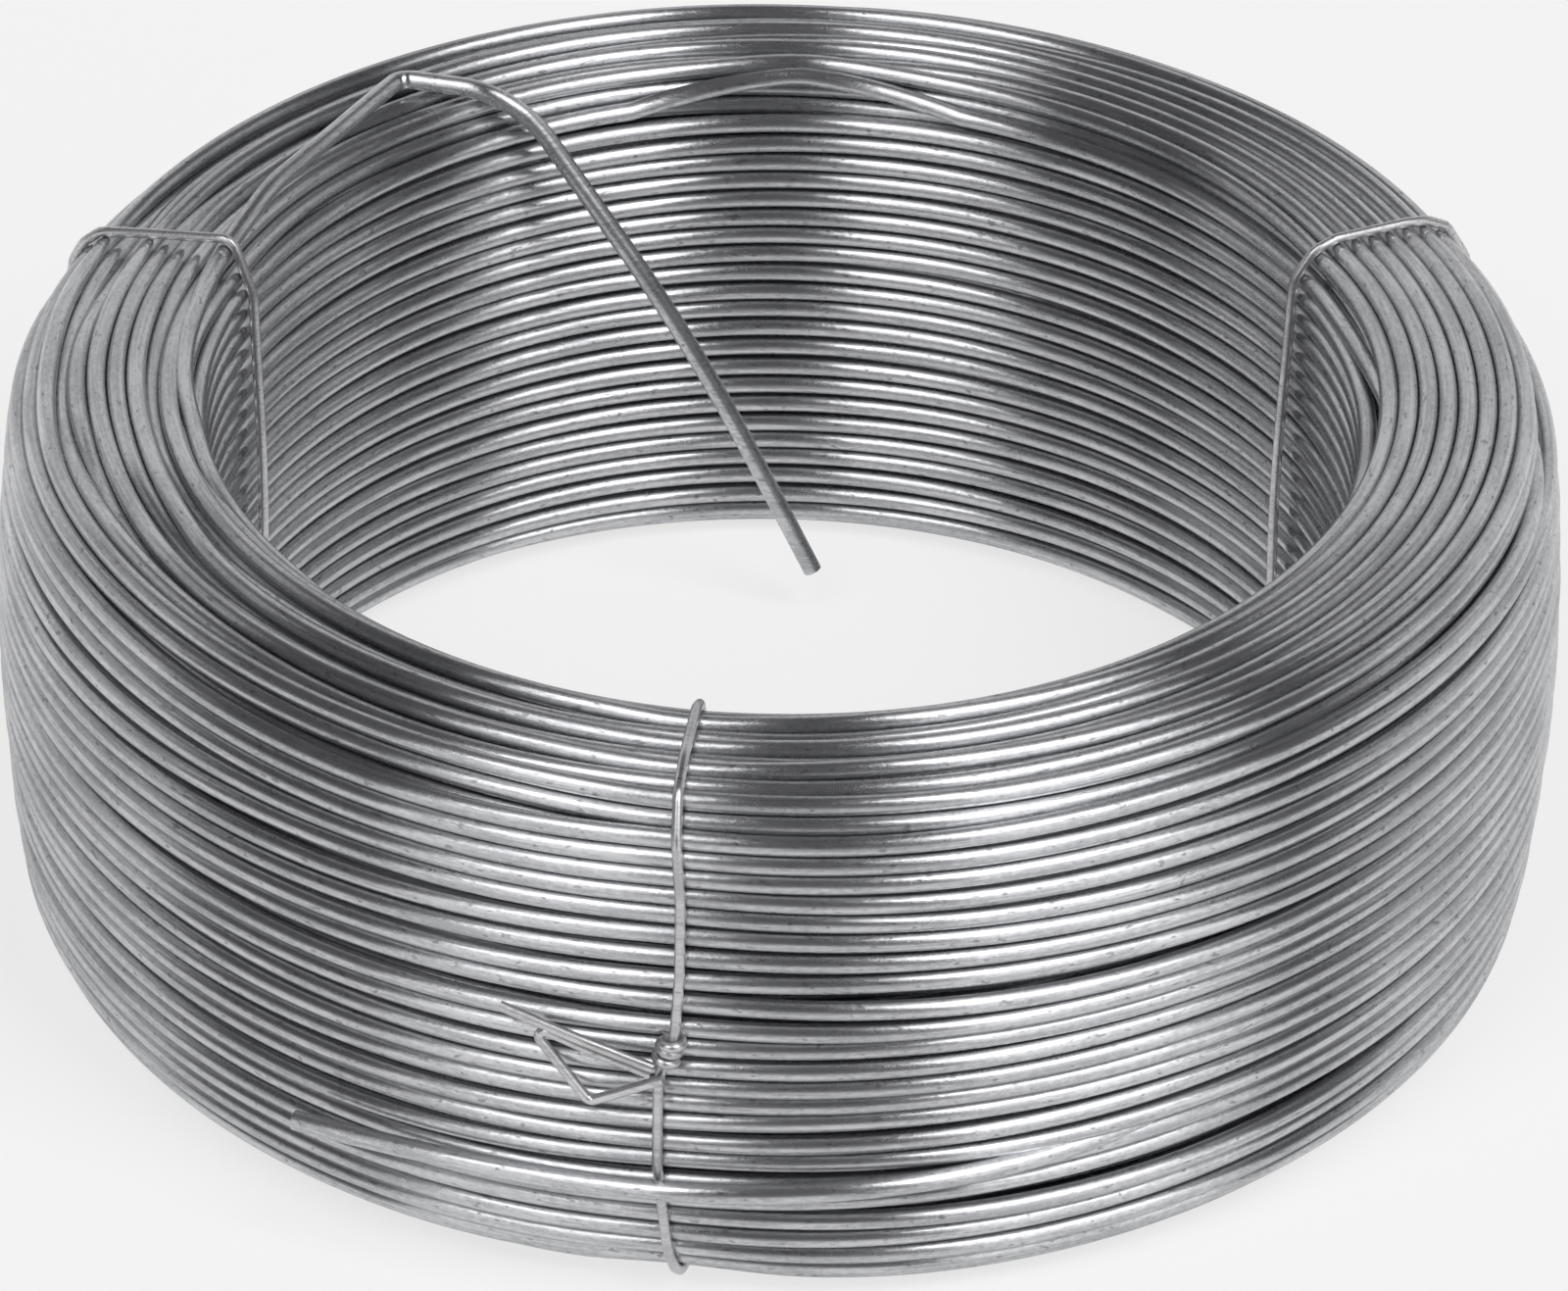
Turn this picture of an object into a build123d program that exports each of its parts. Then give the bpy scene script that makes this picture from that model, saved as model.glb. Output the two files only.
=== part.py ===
from build123d import *

import os
from math import atan2, cos, degrees, pi, radians, sin, sqrt

# A coil of galvanised steel wire, held together by three thin binding wires.
# The wound wire is one turned solid with an open bore. Its turns show as beads on both of its ends.
# Its two free ends belong to it: the inner one springs off the top, kinks and drops into the bore,
# and the outer one lies round the outside, over the front tie.
# Lengths are in millimetres and angles in degrees about the coil's axis, which is Z. It stands on Z = 0.

# Coil
wire_diameter = 2.5
coil_outer_diameter = 200.0
bundle_width = 27.0
coil_height = 74.0
bulge_radius = 226.0
inner_corner_radius = 6.0
outer_corner_radius = 7.0

# Turns as they show on the ends, each a bead between two grooves, with flats to stand on underneath
turn_pitch = 2.85
turn_relief = 0.7
base_crown_share = 0.4

# Flats that stand for round surfaces: pairs of them on the outside and its lower corners, and sides of a wire
side_facets = 2
foot_facets = 1
wire_sides = 6
tie_sides = 5

# Ties: thin wire round the section, let into the underside so that the coil stands flat
tie_diameter = 1.3
tie_clearance = 0.15
tie_foot_radius = 3.0
front_tie_angle = 263.0
right_tie_angle = 24.0
left_tie_angle = 162.0

# Twisted end of a tie, folded flat against the outside as a long narrow loop
twist_height = 38.0
twist_reach_angle = 10.5
twist_fold_angle = 5.2
twist_rise = 4.6
twist_drop = 5.4
twist_lift = 1.1
twist_fold_radius = 1.2

# Inner free end, by its distances outwards or inwards from the bore's wall
inner_end_root_angle = 164.0
inner_end_root_inset = 4.0
inner_end_root_depth = 2.8
inner_end_rise_angle = 146.0
inner_end_rise_inset = 6.0
inner_end_kink_angle = 128.0
inner_end_kink_inset = 11.0
inner_end_rim_angle = 120.0
inner_end_rim_overhang = 0.5
inner_end_tip_angle = 85.3
inner_end_tip_overhang = 18.0
inner_end_tip_height = 6.7
inner_end_lift = 0.3
inner_end_rise_bend = 20.0
inner_end_kink_bend = 4.0
inner_end_rim_bend = 7.0

# Outer free end
outer_end_root_angle = 292.0
outer_end_root_depth = 2.8
outer_end_root_height = 20.5
outer_end_cross_height = 19.5
outer_end_tip_angle = 234.0
outer_end_tip_height = 17.0
outer_end_tip_lift = 0.8

wire_radius = wire_diameter / 2
tie_radius = tie_diameter / 2
tie_gap = tie_radius + tie_clearance
outer_radius = coil_outer_diameter / 2
bore_radius = outer_radius - bundle_width
half_height = coil_height / 2
bulge_centre = outer_radius - bulge_radius


def polar(radius, angle, height):
    """A point at this radius and angle about the coil's axis."""
    return Vector(radius * cos(radians(angle)), radius * sin(radians(angle)), height)


def outside_radius(height):
    """Radius of the bulged outside at this height."""
    return bulge_centre + sqrt(bulge_radius**2 - (height - half_height) ** 2)


def outside_corner(bulge, corner, level):
    """Radial place of a corner that touches the bulged outside and a flat this far from mid-height.

    Returns the radius of the corner's centre and the angle at which the corner meets the outside.
    """
    rise = level - corner
    run = sqrt((bulge - corner) ** 2 - rise**2)
    return bulge_centre + run, degrees(atan2(rise, run))


def turns_along(start, stop, count, place, relief=0, crown=0):
    """Points of this many turns between two values that place() makes into a point and an outward direction.

    Each turn is a groove of this depth and a crown, which is flat over this share of the turn or a ridge.
    """
    steps = [(0, relief), (0.5 - crown / 2, 0)]
    if crown > 0:
        steps.append((0.5 + crown / 2, 0))
    points = []
    for turn in range(count):
        for share, depth in steps:
            point, out = place(start + (stop - start) * (turn + share) / count)
            points.append(point - out * depth)
    return points


def round_corner(centre, radius):
    """Place of a point on a rounded corner of the section, by its angle."""

    def place(angle):
        out = Vector(cos(radians(angle)), sin(radians(angle)))
        return centre + out * radius, out

    return place


def coil_section():
    """Half section of the coil: straight bore, beads for the turns on both ends and a bulged outside."""
    outer_place, meet = outside_corner(bulge_radius, outer_corner_radius, half_height)
    inner_place = bore_radius + inner_corner_radius
    inner_low, inner_high = [
        round_corner(Vector(inner_place, z), inner_corner_radius)
        for z in (inner_corner_radius, coil_height - inner_corner_radius)
    ]
    outer_low, outer_high = [
        round_corner(Vector(outer_place, z), outer_corner_radius)
        for z in (outer_corner_radius, coil_height - outer_corner_radius)
    ]
    side = round_corner(Vector(bulge_centre, half_height), bulge_radius)
    inner_count = round(inner_corner_radius * pi / 2 / turn_pitch)
    outer_count = round(outer_corner_radius * pi / 2 / turn_pitch)
    end_count = round((outer_place - inner_place) / turn_pitch)

    def top(radius):
        return Vector(radius, coil_height), Vector(0, 1)

    def base(radius):
        return Vector(radius, 0), Vector(0, -1)

    outline = turns_along(180, 90, inner_count, inner_high, turn_relief)
    outline += turns_along(inner_place, outer_place, end_count, top, turn_relief)
    outline += turns_along(90, meet, outer_count, outer_high, turn_relief)
    outline += turns_along(meet, -meet, side_facets, side)
    outline += turns_along(-meet, -90, foot_facets, outer_low)
    outline += turns_along(outer_place, inner_place, end_count, base, turn_relief, base_crown_share)
    outline += turns_along(270, 180, foot_facets, inner_low)
    outline[0] = Vector(bore_radius, outline[0].Y)
    outline.append(Vector(bore_radius, inner_corner_radius))
    return make_face(Plane.XZ * Polyline(*outline, close=True))


def wire_along(path, radius, sides):
    """Wire of this radius along a path, with enough sides to read as round."""
    start = Plane(origin=path @ 0, z_dir=path % 0)
    return sweep(start * RegularPolygon(radius, sides), path=path)


def inner_end():
    """Free end at the bore: up out of the top, a kink, over the rim and down into the bore."""
    lying = coil_height + wire_radius + inner_end_lift
    route = FilletPolyline(
        polar(bore_radius + inner_end_root_inset, inner_end_root_angle, coil_height - inner_end_root_depth),
        polar(bore_radius + inner_end_rise_inset, inner_end_rise_angle, lying),
        polar(bore_radius + inner_end_kink_inset, inner_end_kink_angle, lying),
        polar(bore_radius - inner_end_rim_overhang, inner_end_rim_angle, lying),
        polar(bore_radius - inner_end_tip_overhang, inner_end_tip_angle, inner_end_tip_height),
        radius=[inner_end_rise_bend, inner_end_kink_bend, inner_end_rim_bend],
    )
    return wire_along(route, wire_radius, wire_sides)


def outer_end():
    """Free end outside: out of the bulged side, over the front tie and on to its cut tip."""
    root = outside_radius(outer_end_root_height) - outer_end_root_depth
    cross = outside_radius(outer_end_cross_height) + tie_diameter + 2 * tie_clearance + wire_radius
    tip = outside_radius(outer_end_tip_height) + wire_radius + outer_end_tip_lift
    route = ThreePointArc(
        polar(root, outer_end_root_angle, outer_end_root_height),
        polar(cross, front_tie_angle, outer_end_cross_height),
        polar(tip, outer_end_tip_angle, outer_end_tip_height),
    )
    return wire_along(route, wire_radius, wire_sides)


def tie_loop():
    """Path of a tie round the section at angle 0, close to the coil and let into its underside."""
    foot = tie_gap
    bulge = bulge_radius + tie_gap
    inside = bore_radius - tie_gap
    over = coil_height + tie_gap
    top_in = Vector(bore_radius + inner_corner_radius, coil_height - inner_corner_radius)
    top_place, top_meet = outside_corner(bulge, outer_corner_radius + tie_gap, half_height + tie_gap)
    foot_place, foot_meet = outside_corner(bulge, tie_foot_radius, half_height - foot)
    foot_level = foot + tie_foot_radius
    foot_in = inside + tie_foot_radius
    over_radius = outer_corner_radius + tie_gap
    edges = [
        Line((inside, foot_level), (inside, top_in.Y)),
        CenterArc(top_in, inner_corner_radius + tie_gap, 180, -90),
        Line((top_in.X, over), (top_place, over)),
        CenterArc((top_place, over - over_radius), over_radius, 90, top_meet - 90),
        CenterArc((bulge_centre, half_height), bulge, top_meet, -top_meet - foot_meet),
        CenterArc((foot_place, foot_level), tie_foot_radius, -foot_meet, foot_meet - 90),
        Line((foot_place, foot), (foot_in, foot)),
        CenterArc((foot_in, foot_level), tie_foot_radius, 270, -90),
    ]
    return Wire([Plane.XZ * edge for edge in edges])


def twist_loop():
    """Path of a tie's folded twist at angle 0, out along the coil, back below and into the tie again."""
    height = twist_height
    along = [
        (0, height, 0),
        (-twist_reach_angle, height + twist_rise, twist_lift),
        (-twist_fold_angle, height - twist_drop, twist_lift),
        (0, height - twist_drop / 2, 0),
    ]
    route = [polar(outside_radius(z) + tie_gap + lift, angle, z) for angle, z, lift in along]
    return FilletPolyline(*route, radius=twist_fold_radius)


def tie(angle):
    """One binding wire with its folded twist, at this angle."""
    loop = wire_along(tie_loop(), tie_radius, tie_sides)
    twist = wire_along(twist_loop(), tie_radius, tie_sides)
    return Rot(0, 0, angle) * (loop + twist)


def tie_slot(angle):
    """Slot across the underside that takes a tie at this angle."""
    depth = tie_diameter + 2 * tie_clearance
    slot = Pos((bore_radius + outer_radius) / 2, 0, 0) * Box(outer_radius, depth, 2 * depth)
    return Rot(0, 0, angle) * slot


coil = revolve(coil_section(), Axis.Z)
for tie_angle in (front_tie_angle, left_tie_angle, right_tie_angle):
    coil -= tie_slot(tie_angle)
coil += [inner_end(), outer_end()]

nodes = {
    "wire_coil": coil,
    "tie_front": tie(front_tie_angle),
    "tie_left": tie(left_tie_angle),
    "tie_right": tie(right_tie_angle),
}

os.makedirs("parts", exist_ok=True)
for name, solid in nodes.items():
    export_step(solid, f"parts/{name}.step")
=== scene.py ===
import math

import bpy
import numpy as np
from mathutils import Euler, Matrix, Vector


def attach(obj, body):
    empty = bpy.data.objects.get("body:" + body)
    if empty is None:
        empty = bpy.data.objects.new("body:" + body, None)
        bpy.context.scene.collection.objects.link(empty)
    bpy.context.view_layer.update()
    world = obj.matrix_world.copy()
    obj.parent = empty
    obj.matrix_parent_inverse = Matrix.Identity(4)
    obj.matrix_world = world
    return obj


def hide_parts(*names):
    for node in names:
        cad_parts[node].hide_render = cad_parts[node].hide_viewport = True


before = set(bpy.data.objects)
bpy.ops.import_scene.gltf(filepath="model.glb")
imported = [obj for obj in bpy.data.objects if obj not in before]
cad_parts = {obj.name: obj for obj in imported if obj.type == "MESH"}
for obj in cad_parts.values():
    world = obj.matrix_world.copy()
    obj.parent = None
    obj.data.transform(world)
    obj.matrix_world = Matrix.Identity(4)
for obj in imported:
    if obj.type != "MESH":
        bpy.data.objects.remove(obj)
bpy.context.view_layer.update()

# Sizes of the coil in metres, as in the part's solids
MM = 0.001
wire_radius = 1.25 * MM
tie_radius = 0.65 * MM
bore_radius = 73 * MM
outer_radius = 100 * MM
coil_height = 74 * MM
bulge_radius = 226 * MM
inner_corner = 6 * MM
outer_corner = 7 * MM

# Winding: layers from the bore outwards, each a helix up or down, then let settle for a set number of steps
# in which the wires push each other apart
layer_count = 10
turn_pitch = 2.82 * MM
stations = 240
section_samples = 400
corner_slack = 0.2 * MM
winding_seed = 11

# How far turns stray from even places, and the share of that which is left to the tight turns at the bore
stray_height = 0.7 * MM
stray_radius = 0.35 * MM
sway_height = 1.2 * MM
tight_share = 0.25

# Sway that neighbouring turns share: size, waves round the coil, radians up its height, and phase
sway_waves = [
    (1.0, 2, 7, 0.4),
    (0.7, 3, -11, 2.1),
    (0.6, 1, 15, 4.0),
]

# Settling: wires push each other apart, are drawn to their places at first and are smoothed along their run
settle_steps = 90
last_steps = 30
regroup_steps = 15
neighbour_count = 22
push_share = 0.32
homing_share = 0.02
free_smoothing = 0.2
last_smoothing = 0.3

# Turns that are drawn: depth of the first turns and of all, and bands that tell the sides of the bundle apart
first_depth = 2.6 * MM
shell_depth = 5.2 * MM
corner_share = 0.6
bore_band = 3 * MM
end_band = 5 * MM

# Sides of a wire where it shows, where it is half hidden and at its free ends, and its grain's shift by run
tube_sides = 10
hidden_sides = 6
end_sides = 14
run_offset = 0.37

# Where the winding starts and stops, its wire slips in between the turns: degrees of turn, and depth
tuck_reach = 20.0
tuck_depth = 2.6 * MM

# A turn at the top of the bore that has sprung up over its neighbour at the back
kinked_turn = 0
kink_angle = 89.0
kink_reach = 18.0
kink_shift = (1.7 * MM, 3.3 * MM)
kink_power = 1.3

# Ties: angle about the axis in degrees, how far they pull the bundle in, and over how many degrees
tie_angles = {"tie_front": 263.0, "tie_left": 160.9, "tie_right": 25.0}
pinch_depth = 0.7 * MM
pinch_foot = 1.45 * MM
inner_pinch_share = 0.5
pinch_width = 9.0

# Loop of a tie: points along it and round each wire, slack, bow off the bore's wall, and reach in degrees
tie_points = 200
tie_rim_points = 48
tie_slack = 0.05 * MM
tie_bow = 0.9 * MM
tie_reach = 1.5
tie_sides = 12
tie_spacing = 0.3 * MM

# Sway of the front tie down the outside: height, and degrees off its angle
front_sway = [
    (0 * MM, 0.9),
    (9 * MM, 0.0),
    (22 * MM, -0.65),
    (35 * MM, -0.6),
    (42 * MM, 0.5),
    (50 * MM, 0.75),
    (60 * MM, 0.7),
    (74 * MM, 0.0),
]

# Twisted ends of a tie: wraps of its knot, then routes folded flat to one side.
# Routes give degrees off the tie, height, and lift off the outside, and then the radius of each bend.
knot_height = 39.0 * MM
knot_turns = 2.5
knot_length = 3.6 * MM
knot_steps = 24
knot_reach = 1.9 * tie_radius
fold_route = [
    (-1.0, 36.9 * MM, 0.9 * MM),
    (-5.2, 39.2 * MM, 0.7 * MM),
    (-9.6, 41.7 * MM, 0.8 * MM),
    (-5.2, 31.6 * MM, 0.8 * MM),
    (-1.3, 35.2 * MM, 0.8 * MM),
    (-0.1, 36.2 * MM, 0.9 * MM),
]
fold_bends = [12 * MM, 0.9 * MM, 1.0 * MM, 3 * MM]
second_end_route = [
    (-0.8, 37.9 * MM, 1.0 * MM),
    (-5.6, 40.4 * MM, 0.8 * MM),
    (-11.5, 43.3 * MM, 0.8 * MM),
]
second_end_bends = [14 * MM]

# Inner free end, out of the turns at the top: angle, radius and height along its run, and radius of each bend
inner_end_run = [
    (236.0, 78.0 * MM, 68.0 * MM),
    (205.0, 76.8 * MM, 71.3 * MM),
    (180.0, 76.8 * MM, 72.3 * MM),
    (163.0, 77.0 * MM, 72.9 * MM),
    (150.0, 77.6 * MM, 75.3 * MM),
    (128.0, 84.0 * MM, 76.0 * MM),
    (120.0, 72.5 * MM, 76.0 * MM),
    (101.6, 59.8 * MM, 39.9 * MM),
    (85.3, 55.0 * MM, 6.7 * MM),
]
inner_end_bends = [60 * MM, 60 * MM, 60 * MM, 40 * MM, 2.5 * MM, 15 * MM, 300 * MM]

# Outer free end: angle and height where it leaves the outside, crosses the front tie and stops.
# Its tip springs off the outside, its root sinks into the turns, and it presses on the tie.
outer_end_root = (300.0, 21.0 * MM)
outer_end_cross = (263.0, 19.5 * MM)
outer_end_tip = (236.3, 18.2 * MM)
outer_end_lift = 3.2 * MM
outer_end_sink = 4.5 * MM
outer_end_press = 0.5 * MM
outer_end_points = 60

# Zinc: turn of its stretched highlights, ranges of noise for its tone, gloss and specks, and its uneven skin
stretch_turn = 0.25
tone_range = (1.25, 1.75)
gloss_range = (1.1, 1.9)
speck_range = (0.67, 0.74)
speck_share = 0.55
speck_colour = (0.16, 0.16, 0.17)
skin_strength = 0.25
skin_depth = 0.05 * MM

# Floor of white paper, and the share of plain white in what the camera and the metal see of it
floor_size = 60.0
paper_colour = (0.86, 0.86, 0.86)
paper_roughness = 0.9
white_share = 0.7

# Softboxes: azimuth in degrees to the camera's right, distance, width, lower and upper edge, and brightness
softboxes = {
    "softbox_left": (-33, 1.2, 0.76, 1.1, 3.8, 4.3),
    "softbox_left_low": (-33, 1.2, 0.76, 0.0, 1.1, 0.95),
    "softbox_right": (46, 1.2, 0.92, 1.1, 3.8, 5.8),
    "softbox_right_low": (46, 1.2, 0.92, 0.0, 1.1, 1.2),
    "softbox_back": (180, 1.5, 3.2, 0.0, 1.5, 0.65),
    "softbox_back_left": (-112, 1.4, 1.2, 0.0, 1.3, 0.45),
    "softbox_back_right": (112, 1.4, 1.2, 0.0, 1.3, 0.5),
}
world_colour = (0.05, 0.05, 0.052)

# Camera fitted to the photograph
camera_distance = 1081 * MM
camera_elevation = 33.63
camera_roll = 1.16
camera_lens = 192.8
camera_sensor = 36
camera_shift = (0.00334, -0.02456)

# Points along bent wire: at most this far apart in bends and on straight runs
bend_spacing = 0.8 * MM
straight_spacing = 2.5 * MM

half_height = coil_height / 2
middle_radius = (bore_radius + outer_radius) / 2
bulge_centre = outer_radius - bulge_radius


def polar(angle, radius, height):
    """Points at these angles in degrees and radii about the coil's axis."""
    turn = np.radians(angle)
    return np.stack(np.broadcast_arrays(radius * np.cos(turn), radius * np.sin(turn), height), axis=-1)


def outside_at(height):
    """Radius of the bulged outside at this height."""
    return bulge_centre + np.sqrt(bulge_radius**2 - (height - half_height) ** 2)


def pinch_at(angle):
    """How hard the ties pull the bundle in at these angles, from 0 between them to 1 under one."""
    pull = np.zeros_like(angle)
    for tie_angle in tie_angles.values():
        off = (angle - tie_angle + 180) % 360 - 180
        pull = np.maximum(pull, np.exp(-((off / pinch_width) ** 2)))
    return pull


def hold_in(spots, pull):
    """Moves wire centres (radius, height) back inside the section, which the ties make smaller."""
    radius, height = spots[..., 0], spots[..., 1]
    low = wire_radius + pinch_foot * pull
    high = coil_height - wire_radius - pinch_depth * pull
    height = np.clip(height, low, high)
    inner = bore_radius + wire_radius + pinch_depth * pull * inner_pinch_share
    outer = outside_at(height) - wire_radius - pinch_depth * pull
    radius = np.clip(radius, inner, outer)
    for corner, side in ((inner_corner, -1), (outer_corner, 1)):
        reach = corner - wire_radius
        edge = inner if side < 0 else outer
        centre_r = edge - side * reach
        for end, up in ((high, 1), (low, -1)):
            centre_z = end - up * reach
            off_r = np.maximum(side * (radius - centre_r), 0)
            off_z = np.maximum(up * (height - centre_z), 0)
            far = np.hypot(off_r, off_z)
            inside = np.where(far > reach, reach / np.maximum(far, 1e-9), 1)
            in_corner = (off_r > 0) & (off_z > 0)
            radius = np.where(in_corner, centre_r + side * off_r * inside, radius)
            height = np.where(in_corner, centre_z + up * off_z * inside, height)
    return np.stack([radius, height], axis=-1)


def depth_in(spots):
    """How far wire centres lie from the surface of the bundle."""
    radius, height = spots[..., 0], spots[..., 1]
    sides = np.minimum(radius - bore_radius, outside_at(height) - radius)
    ends = np.minimum(height, coil_height - height)
    return np.minimum(np.minimum(sides, ends), sides + ends - outer_corner * corner_share)


def winding_slots():
    """Section places (radius, height) of the turns in winding order: down one layer and up the next."""
    heights = np.linspace(0, coil_height, section_samples)
    inner = bore_radius + wire_radius
    slots = []
    for layer in range(layer_count):
        share = layer / (layer_count - 1)
        line = np.stack([inner + share * (outside_at(heights) - wire_radius - inner), heights], axis=-1)
        inside = np.linalg.norm(hold_in(line, np.zeros(len(line))) - line, axis=-1) < corner_slack
        line = line[inside]
        count = int((line[-1, 1] - line[0, 1]) / turn_pitch) + 1
        places = line[np.linspace(len(line) - 1, 0, count).round().astype(int)]
        slots += list(places[::-1] if layer % 2 else places)
    return np.array(slots)


def smooth_noise(rng, shape, modes):
    """Random waves along the last axis, about 1 high, made of a few low frequencies."""
    along = np.linspace(0, 1, shape[-1], endpoint=False)
    total = np.zeros(shape)
    for mode in modes:
        size = rng.normal(size=shape[:-1] + (1,)) / len(modes) ** 0.5
        phase = rng.uniform(0, 2 * math.pi, size=shape[:-1] + (1,))
        total += size * np.sin(2 * math.pi * mode * along + phase)
    return total


def wind_coil():
    """Wire centres (radius, height) by turn and station, settled so that the wires lie against each other."""
    rng = np.random.default_rng(winding_seed)
    slots = winding_slots()
    count = len(slots) - 1
    share = np.arange(stations) / stations
    angles = 360 * share
    spots = slots[:-1, None] * (1 - share[:, None]) + slots[1:, None] * share[:, None]
    strayed = np.stack(
        [
            stray_radius * smooth_noise(rng, (count, stations), (1, 2, 3, 5)),
            stray_height * smooth_noise(rng, (count, stations), (1, 2, 3, 4)),
        ],
        axis=-1,
    )
    turn = np.radians(angles)[None]
    height = spots[..., 1] / coil_height
    sway = sum(size * np.sin(around * turn + up * height + phase) for size, around, up, phase in sway_waves)
    outward = (spots[..., 0] - bore_radius) / (outer_radius - bore_radius)
    looseness = tight_share + (1 - tight_share) * outward
    target = spots + strayed * looseness[..., None]
    target[..., 1] += sway_height / 2 * sway * looseness
    pull = pinch_at(angles)[None]
    now = hold_in(target, pull)
    off = np.abs(angles - kink_angle)
    sprung = off < kink_reach
    lift = (1 - (off[sprung, None] / kink_reach) ** kink_power) * np.array(kink_shift)
    pinned = now[kinked_turn, sprung] + lift
    for step in range(settle_steps):
        if step % regroup_steps == 0:
            middle = now.mean(axis=1)
            apart = np.linalg.norm(middle[:, None] - middle[None], axis=-1)
            near = np.argsort(apart, axis=1)[:, 1 : neighbour_count + 1]
        gap = now[:, None] - now[near]
        distance = np.maximum(np.linalg.norm(gap, axis=-1, keepdims=True), 1e-6)
        overlap = np.clip(2 * wire_radius - distance, 0, None)
        now = now + push_share * (gap / distance * overlap).sum(axis=1)
        free = step < settle_steps - last_steps
        if free:
            now = now + homing_share * (target - now)
        smoothing = free_smoothing if free else last_smoothing
        run = now.reshape(-1, 2)
        run[1:-1] += smoothing * (run[2:] + run[:-2] - 2 * run[1:-1])
        now = hold_in(run.reshape(now.shape), pull)
        now[kinked_turn, sprung] = pinned
    away = np.clip(1 - angles / tuck_reach, 0, 1) ** 2
    now[0, :, 0] += tuck_depth * away
    now[-1, ::-1, 0] -= tuck_depth * away
    return angles, now


def tube(name, paths, radius, sides, material, closed=False, capped=True, outward=False):
    """A mesh of round wires along paths of points, with the length along each wire as its first UV.

    Wires that run round the axis take their cross direction outward from it, and others take a steady one.
    """
    turn = np.linspace(0, 2 * math.pi, sides, endpoint=False)
    ring_at = np.arange(sides)
    ring_next = (ring_at + 1) % sides
    corners, quads, lengths, caps = [], [], [], []
    start = 0
    for path in paths:
        path = np.asarray(path, dtype=float)
        count = len(path)
        ahead = np.roll(path, -1, axis=0) - np.roll(path, 1, axis=0)
        if not closed:
            ahead[0], ahead[-1] = path[1] - path[0], path[-1] - path[-2]
        ahead /= np.linalg.norm(ahead, axis=1, keepdims=True)
        if outward:
            across = path * (1, 1, 0)
            across -= ahead * np.sum(across * ahead, axis=1, keepdims=True)
            across /= np.linalg.norm(across, axis=1, keepdims=True)
        else:
            across = steady_normals(path, ahead, closed)
        other = np.cross(ahead, across)
        ring = across[:, None] * np.cos(turn)[None, :, None] + other[:, None] * np.sin(turn)[None, :, None]
        skin = (path[:, None] + radius * ring).reshape(-1, 3)
        corners.append(skin)
        rows = np.arange(count if closed else count - 1)
        here = start + rows[:, None] * sides
        there = start + (rows[:, None] + 1) % count * sides
        around = [here + ring_at, here + ring_next, there + ring_next, there + ring_at]
        quads.append(np.stack(around, axis=-1).reshape(-1, 4))
        steps = np.linalg.norm(np.roll(path, -1, axis=0) - path, axis=1)
        along = np.concatenate([[0], np.cumsum(steps)])
        reach = along[np.stack([rows, rows, rows + 1, rows + 1], axis=-1)] + run_offset * len(lengths)
        girth = 2 * math.pi * radius / sides * np.stack([ring_at, ring_at + 1, ring_at + 1, ring_at], axis=-1)
        lengths.append(np.stack([np.repeat(reach, sides, axis=0), np.tile(girth, (len(rows), 1))], axis=-1))
        start += count * sides
        if capped and not closed:
            corners.append(np.concatenate([skin[:sides], skin[-sides:]]))
            caps.append(list(range(start + sides - 1, start - 1, -1)))
            caps.append(list(range(start + sides, start + 2 * sides)))
            start += 2 * sides
    corners, quads, lengths = np.concatenate(corners), np.concatenate(quads), np.concatenate(lengths)
    mesh = bpy.data.meshes.new(name)
    mesh.from_pydata(corners.tolist(), [], quads.tolist() + caps)
    mesh.polygons.foreach_set("use_smooth", [True] * len(quads) + [False] * len(caps))
    uv = np.zeros((len(mesh.loops), 2), dtype=np.float32)
    uv[: quads.size] = lengths.reshape(-1, 2)
    mesh.uv_layers.new(name="along").data.foreach_set("uv", uv.reshape(-1))
    mesh.materials.append(material)
    mesh.update()
    piece = bpy.data.objects.new(name, mesh)
    bpy.context.scene.collection.objects.link(piece)
    return piece


def steady_normals(path, ahead, closed):
    """Directions across a path that don't twist about it."""
    first = np.cross(ahead[0], (0.0, 0.0, 1.0))
    if np.linalg.norm(first) < 1e-3:
        first = np.cross(ahead[0], (1.0, 0.0, 0.0))
    across = np.empty_like(path)
    across[0] = first / np.linalg.norm(first)
    for k in range(1, len(path)):
        side = across[k - 1] - ahead[k] * np.dot(across[k - 1], ahead[k])
        across[k] = side / np.linalg.norm(side)
    if closed:
        end = across[-1] - ahead[0] * np.dot(across[-1], ahead[0])
        end /= np.linalg.norm(end)
        twist = math.atan2(np.dot(np.cross(end, across[0]), ahead[0]), np.dot(end, across[0]))
        turn = (twist * np.arange(len(path)) / len(path))[:, None]
        across = across * np.cos(turn) + np.cross(ahead, across) * np.sin(turn)
    return across


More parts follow.
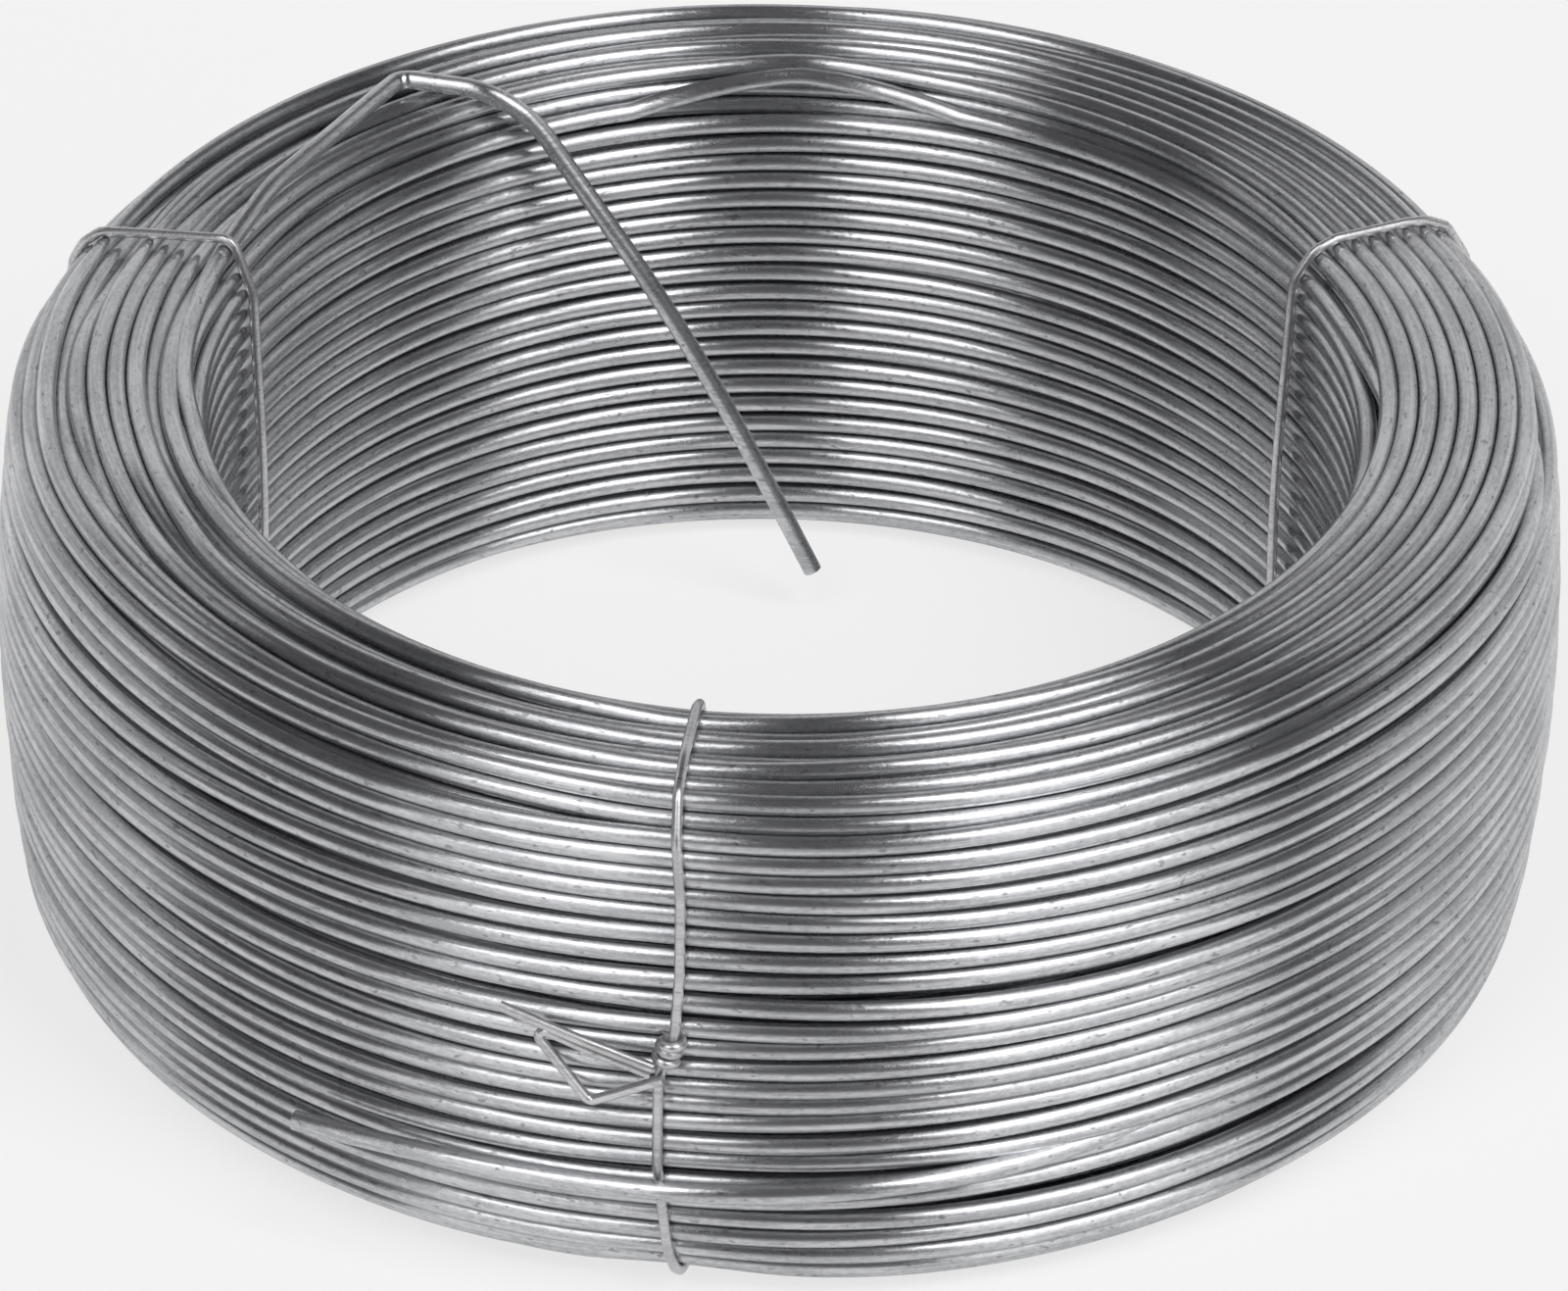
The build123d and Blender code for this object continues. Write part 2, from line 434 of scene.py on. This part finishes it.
def bent_wire(corners, bends, spacing=bend_spacing):
    """Points along straight runs between corners, with each inner corner bent to its radius."""
    corners = [np.asarray(c, dtype=float) for c in corners]
    points = [corners[0]]
    for before, corner, after, bend in zip(corners, corners[1:], corners[2:], bends):
        back = (before - corner) / np.linalg.norm(before - corner)
        on = (after - corner) / np.linalg.norm(after - corner)
        half = 0.5 * math.acos(np.clip(np.dot(back, on), -1, 1))
        reach = bend / math.tan(half)
        middle = (back + on) / np.linalg.norm(back + on)
        centre = corner + middle * bend / math.sin(half)
        start, stop = corner + back * reach - centre, corner + on * reach - centre
        sweep = math.pi - 2 * half
        pieces = max(4, int(bend * sweep / spacing))
        for k in range(pieces + 1):
            at = sweep * k / pieces
            points.append(centre + (start * math.sin(sweep - at) + stop * math.sin(at)) / math.sin(sweep))
    points.append(corners[-1])
    filled = [points[0]]
    for point in points[1:]:
        pieces = max(1, int(np.linalg.norm(point - filled[-1]) / straight_spacing))
        begin = filled[-1]
        filled += [begin + (point - begin) * k / pieces for k in range(1, pieces + 1)]
    return np.array(filled)


def hull_loop(spots, reach):
    """Closed path of a tight loop round wires at these (radius, height) places."""
    turn = np.linspace(0, 2 * math.pi, tie_rim_points, endpoint=False)
    rim = np.stack([np.cos(turn), np.sin(turn)], axis=-1) * reach
    cloud = (spots[:, None] + rim[None]).reshape(-1, 2)
    cloud = cloud[np.lexsort((cloud[:, 1], cloud[:, 0]))]
    halves = []
    for run in (cloud, cloud[::-1]):
        edge = []
        for point in run:
            while len(edge) > 1 and turns_right(edge[-2], edge[-1], point):
                edge.pop()
            edge.append(point)
        halves += edge[:-1]
    hull = np.array(halves + halves[:1])
    run = np.concatenate([[0], np.cumsum(np.linalg.norm(np.diff(hull, axis=0), axis=1))])
    even = np.linspace(0, run[-1], tie_points, endpoint=False)
    return np.stack([np.interp(even, run, hull[:, k]) for k in (0, 1)], axis=-1)


def turns_right(a, b, c):
    """True if the way from a over b to c doesn't turn left."""
    return (b[0] - a[0]) * (c[1] - a[1]) - (b[1] - a[1]) * (c[0] - a[0]) <= 0


def on_outside(angle, off, height, lift):
    """A point beside a tie: degrees off its angle, at this height and lift off the outside."""
    return polar(angle + off, outside_at(height) + tie_radius + lift, height)


def knot_wraps(spine):
    """Turns of thin wire wound round the tie at its knot."""
    steps = int(knot_steps * knot_turns)
    share = np.linspace(0, 1, steps)
    turn = 2 * math.pi * knot_turns * share
    at = len(spine) * share
    middle = np.stack([np.interp(at, np.arange(len(spine)), spine[:, k]) for k in range(3)], axis=-1)
    out = middle[0] * (1, 1, 0) / np.linalg.norm(middle[0, :2])
    side = np.cross((0.0, 0.0, 1.0), out)
    return middle + knot_reach * (np.cos(turn)[:, None] * side + np.sin(turn)[:, None] * out)


def crossing(path, angle):
    """Radius and height of a path's points that lie under a tie at this angle."""
    turned = np.degrees(np.arctan2(path[:, 1], path[:, 0])) % 360
    under = path[(abs(turned - angle) < tie_reach) & (path[:, 2] > half_height)]
    return np.stack([np.hypot(under[:, 0], under[:, 1]), under[:, 2]], axis=-1)


def node(tree, kind, links=(), **values):
    """A shader node with its values set and its inputs linked: links are (input, output socket)."""
    made = tree.nodes.new(kind)
    for key, value in values.items():
        if hasattr(made, key):
            setattr(made, key, value)
        else:
            made.inputs[key.replace("_", " ")].default_value = value
    for name, output in links:
        tree.links.new(output, made.inputs[name])
    return made


def zinc(name, light, dark, smooth, rough, stretch, bare):
    """Zinc-coated wire: drawn streaks along it, fine mottling, dark specks and a slightly uneven skin.

    Its colour runs from dark to light and its roughness from rough to smooth. The share that is bare metal
    and the stretch of its highlights are the same all over.
    """
    material = bpy.data.materials.new(name)
    material.use_nodes = True
    tree = material.node_tree
    shader = tree.nodes["Principled BSDF"]
    shader.inputs["Metallic"].default_value = bare
    shader.inputs["Anisotropic"].default_value = stretch
    shader.inputs["Anisotropic Rotation"].default_value = stretch_turn
    tangent = node(tree, "ShaderNodeTangent", direction_type="UV_MAP", uv_map="along")
    tree.links.new(tangent.outputs[0], shader.inputs["Tangent"])
    place = node(tree, "ShaderNodeTexCoord")
    uv = node(tree, "ShaderNodeSeparateXYZ", [(0, place.outputs["UV"])])
    split = node(tree, "ShaderNodeSeparateXYZ", [(0, place.outputs["Object"])])
    flat = node(tree, "ShaderNodeCombineXYZ", [(0, split.outputs[0]), (1, split.outputs[1])])
    far = node(tree, "ShaderNodeVectorMath", [(0, flat.outputs[0])], operation="LENGTH")
    parts = [(0, uv.outputs[0]), (1, far.outputs["Value"]), (2, split.outputs[2])]
    spot = node(tree, "ShaderNodeCombineXYZ", parts)

    def grain(along, across, detail, rough):
        scaled = node(tree, "ShaderNodeVectorMath", [(0, spot.outputs[0])], operation="MULTIPLY")
        scaled.inputs[1].default_value = (along, across, across)
        made = node(tree, "ShaderNodeTexNoise", [("Vector", scaled.outputs[0])])
        made.inputs["Scale"].default_value = 1.0
        made.inputs["Detail"].default_value = detail
        made.inputs["Roughness"].default_value = rough
        return made.outputs["Fac"]

    def spread(value, low, high, to_low, to_high):
        made = node(tree, "ShaderNodeMapRange", [("Value", value)])
        made.inputs["From Min"].default_value = low
        made.inputs["From Max"].default_value = high
        made.inputs["To Min"].default_value = to_low
        made.inputs["To Max"].default_value = to_high
        return made.outputs["Result"]

    # Grain by its waves a metre along and across the wire, detail and roughness
    mottle = grain(900, 2200, 3.0, 0.65)
    streak = grain(45, 2600, 2.0, 0.5)
    cloud = grain(70, 200, 2.0, 0.5)
    speck = grain(700, 1700, 1.0, 0.4)
    mixed = node(tree, "ShaderNodeMath", [(0, mottle), (1, streak)], operation="ADD")
    tone = node(tree, "ShaderNodeMath", [(0, mixed.outputs[0]), (1, cloud)], operation="ADD")
    lightness = spread(tone.outputs[0], *tone_range, 0.0, 1.0)
    ramp = node(tree, "ShaderNodeMix", [("Factor", lightness)], data_type="RGBA")
    ramp.inputs[6].default_value = (*dark, 1)
    ramp.inputs[7].default_value = (*light, 1)
    specked = spread(speck, *speck_range, 0.0, speck_share)
    spots = node(tree, "ShaderNodeMix", [("Factor", specked)], data_type="RGBA")
    tree.links.new(ramp.outputs[2], spots.inputs[6])
    spots.inputs[7].default_value = (*speck_colour, 1)
    tree.links.new(spots.outputs[2], shader.inputs["Base Color"])
    tree.links.new(spread(tone.outputs[0], *gloss_range, rough, smooth), shader.inputs["Roughness"])
    bump = node(tree, "ShaderNodeBump", [("Height", mixed.outputs[0])])
    bump.inputs["Strength"].default_value = skin_strength
    bump.inputs["Distance"].default_value = skin_depth
    tree.links.new(bump.outputs[0], shader.inputs["Normal"])
    return material


def softbox(name, azimuth, distance, width, low, high, brightness):
    """An upright light between two heights, facing the coil from an azimuth to the camera's right."""
    height = high - low
    lamp = bpy.data.lights.new(name, "AREA")
    lamp.shape = "RECTANGLE"
    lamp.size, lamp.size_y = width, height
    lamp.energy = brightness * math.pi * width * height
    holder = bpy.data.objects.new(name, lamp)
    a = math.radians(azimuth)
    away = Vector((math.sin(a), -math.cos(a), 0))
    holder.location = away * distance + Vector((0, 0, (low + high) / 2))
    holder.rotation_mode = "QUATERNION"
    holder.rotation_quaternion = away.to_track_quat("Z", "Y")
    bpy.context.scene.collection.objects.link(holder)


coil_zinc = zinc(
    "coil_zinc",
    light=(0.62, 0.625, 0.64),
    dark=(0.42, 0.425, 0.44),
    smooth=0.21,
    rough=0.29,
    stretch=0.95,
    bare=0.92,
)
tie_zinc = zinc(
    "tie_zinc",
    light=(0.64, 0.64, 0.65),
    dark=(0.46, 0.46, 0.47),
    smooth=0.3,
    rough=0.4,
    stretch=0.3,
    bare=0.92,
)

# Wound turns, kept where they show at or near the surface of the bundle
angles, wound = wind_coil()
depth = depth_in(wound).min(axis=1)
whole = polar(np.tile(angles, len(wound)), wound[..., 0].reshape(-1), wound[..., 1].reshape(-1))


def surface_of(turn):
    """The side of the bundle on which a turn shows, or None if other turns hide it."""
    radius, height = wound[turn].mean(axis=0)
    if depth[turn] > shell_depth:
        return None
    if depth[turn] > first_depth:
        return "coil_under_turns"
    if radius < bore_radius + bore_band:
        return "coil_bore_side"
    if height > coil_height - end_band:
        return "coil_top"
    if height < end_band:
        return "coil_base"
    return "coil_outside"


runs = {}
surfaces = [surface_of(turn) for turn in range(len(wound))]
begin = 0
for turn in range(1, len(wound) + 1):
    if turn == len(wound) or surfaces[turn] != surfaces[begin]:
        if surfaces[begin]:
            runs.setdefault(surfaces[begin], []).append(whole[begin * stations : turn * stations + 1])
        begin = turn

coil_pieces = []
for name, paths in runs.items():
    sides = hidden_sides if name == "coil_under_turns" else tube_sides
    coil_pieces.append(tube(name, paths, wire_radius, sides, coil_zinc, capped=False, outward=True))

# Free ends of the wound wire
inner_corners = [polar(*corner) for corner in inner_end_run]
inner_path = bent_wire(inner_corners, inner_end_bends)
coil_pieces.append(tube("coil_inner_end", [inner_path], wire_radius, end_sides, coil_zinc))

# Ties, drawn tight round the wires that they cross, with their twisted ends
tie_pieces = {}
for name, angle in tie_angles.items():
    at = int(round(angle / 360 * stations)) % stations
    held = np.concatenate([wound[:, at], crossing(inner_path, angle)])
    loop = hull_loop(held, wire_radius + tie_radius + tie_slack)
    within = loop[:, 0] < bore_radius + wire_radius
    loop[within, 0] -= tie_bow * np.sin(math.pi * np.clip(loop[within, 1] / coil_height, 0, 1)) ** 2
    outside = loop[:, 0] > middle_radius
    turned = np.full(len(loop), angle)
    if name == "tie_front":
        turned[outside] += np.interp(loop[outside, 1], *zip(*front_sway))
    path = polar(turned, loop[:, 0], loop[:, 1])
    near_knot = outside & (abs(loop[:, 1] - knot_height) < knot_length / 2)
    fold_spots, second_spots = [
        [on_outside(angle, *spot) for spot in route] for route in (fold_route, second_end_route)
    ]
    fold = bent_wire(fold_spots, fold_bends, tie_spacing)
    second = bent_wire(second_spots, second_end_bends, tie_spacing)
    tie_pieces[name] = [
        tube(name + "_loop", [path], tie_radius, tie_sides, tie_zinc, closed=True),
        tube(name + "_twist", [knot_wraps(path[near_knot]), fold, second], tie_radius, tie_sides, tie_zinc),
    ]

# Outer free end over the front tie
outer_end_angles = [outer_end_tip[0], outer_end_cross[0], outer_end_root[0]]
outer_end_heights = [outer_end_tip[1], outer_end_cross[1], outer_end_root[1]]
outer_corners = []
for angle in np.linspace(outer_end_root[0], outer_end_tip[0], outer_end_points):
    before, past = [
        np.clip((angle - outer_end_cross[0]) / (end[0] - outer_end_cross[0]), 0, 1)
        for end in (outer_end_root, outer_end_tip)
    ]
    over_tie = (2 * tie_radius - outer_end_press) * (1 - past)
    rise = wire_radius + over_tie - outer_end_sink * before**2 + outer_end_lift * past**3
    height = np.interp(angle, outer_end_angles, outer_end_heights)
    outer_corners.append(polar(angle, outside_at(height) + rise, height))
coil_pieces.append(tube("coil_outer_end", [np.array(outer_corners)], wire_radius, end_sides, coil_zinc))

# Every piece stands for its solid
for piece in coil_pieces:
    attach(piece, "root")
    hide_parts("wire_coil")
for name, pieces in tie_pieces.items():
    for piece in pieces:
        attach(piece, "root")
        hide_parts(name)

# Floor, which the camera and the metal see as nearly white
floor_mesh = bpy.data.meshes.new("floor")
half = floor_size / 2
floor_corners = [(-half, -half, 0), (half, -half, 0), (half, half, 0), (-half, half, 0)]
floor_mesh.from_pydata(floor_corners, [], [(0, 1, 2, 3)])
floor = bpy.data.objects.new("floor", floor_mesh)
bpy.context.scene.collection.objects.link(floor)
paper = bpy.data.materials.new("paper")
paper.use_nodes = True
paper_tree = paper.node_tree
paper_shader = paper_tree.nodes["Principled BSDF"]
paper_shader.inputs["Base Color"].default_value = (*paper_colour, 1)
paper_shader.inputs["Roughness"].default_value = paper_roughness
glow = node(paper_tree, "ShaderNodeEmission", Strength=1.0)
rays = node(paper_tree, "ShaderNodeLightPath")
seen = rays.outputs["Is Camera Ray"]
for kind in ("Is Glossy Ray", "Is Transmission Ray"):
    either = [(0, seen), (1, rays.outputs[kind])]
    seen = node(paper_tree, "ShaderNodeMath", either, operation="MAXIMUM").outputs[0]
whitened = node(paper_tree, "ShaderNodeMath", [(0, seen)], operation="MULTIPLY")
whitened.inputs[1].default_value = white_share
shares = [(0, whitened.outputs[0]), (1, paper_shader.outputs[0]), (2, glow.outputs[0])]
blend = node(paper_tree, "ShaderNodeMixShader", shares)
paper_tree.links.new(blend.outputs[0], paper_tree.nodes["Material Output"].inputs["Surface"])
floor_mesh.materials.append(paper)

# Light
for name, setting in softboxes.items():
    softbox(name, *setting)

world = bpy.data.worlds.new("studio")
world.use_nodes = True
world.node_tree.nodes["Background"].inputs["Color"].default_value = (*world_colour, 1)
bpy.context.scene.world = world

# Camera
camera = bpy.data.objects.new("camera", bpy.data.cameras.new("camera"))
bpy.context.scene.collection.objects.link(camera)
camera.data.lens = camera_lens
camera.data.sensor_width = camera_sensor
camera.data.shift_x, camera.data.shift_y = camera_shift
rise = math.radians(camera_elevation)
centre = Vector((0, 0, half_height))
camera.location = Vector((0, -math.cos(rise), math.sin(rise))) * camera_distance + centre
aim = centre - camera.location
camera.rotation_mode = "QUATERNION"
roll = Euler((0, 0, math.radians(camera_roll))).to_quaternion()
camera.rotation_quaternion = aim.to_track_quat("-Z", "Y") @ roll
bpy.context.scene.camera = camera
bpy.context.scene.view_settings.view_transform = "Standard"
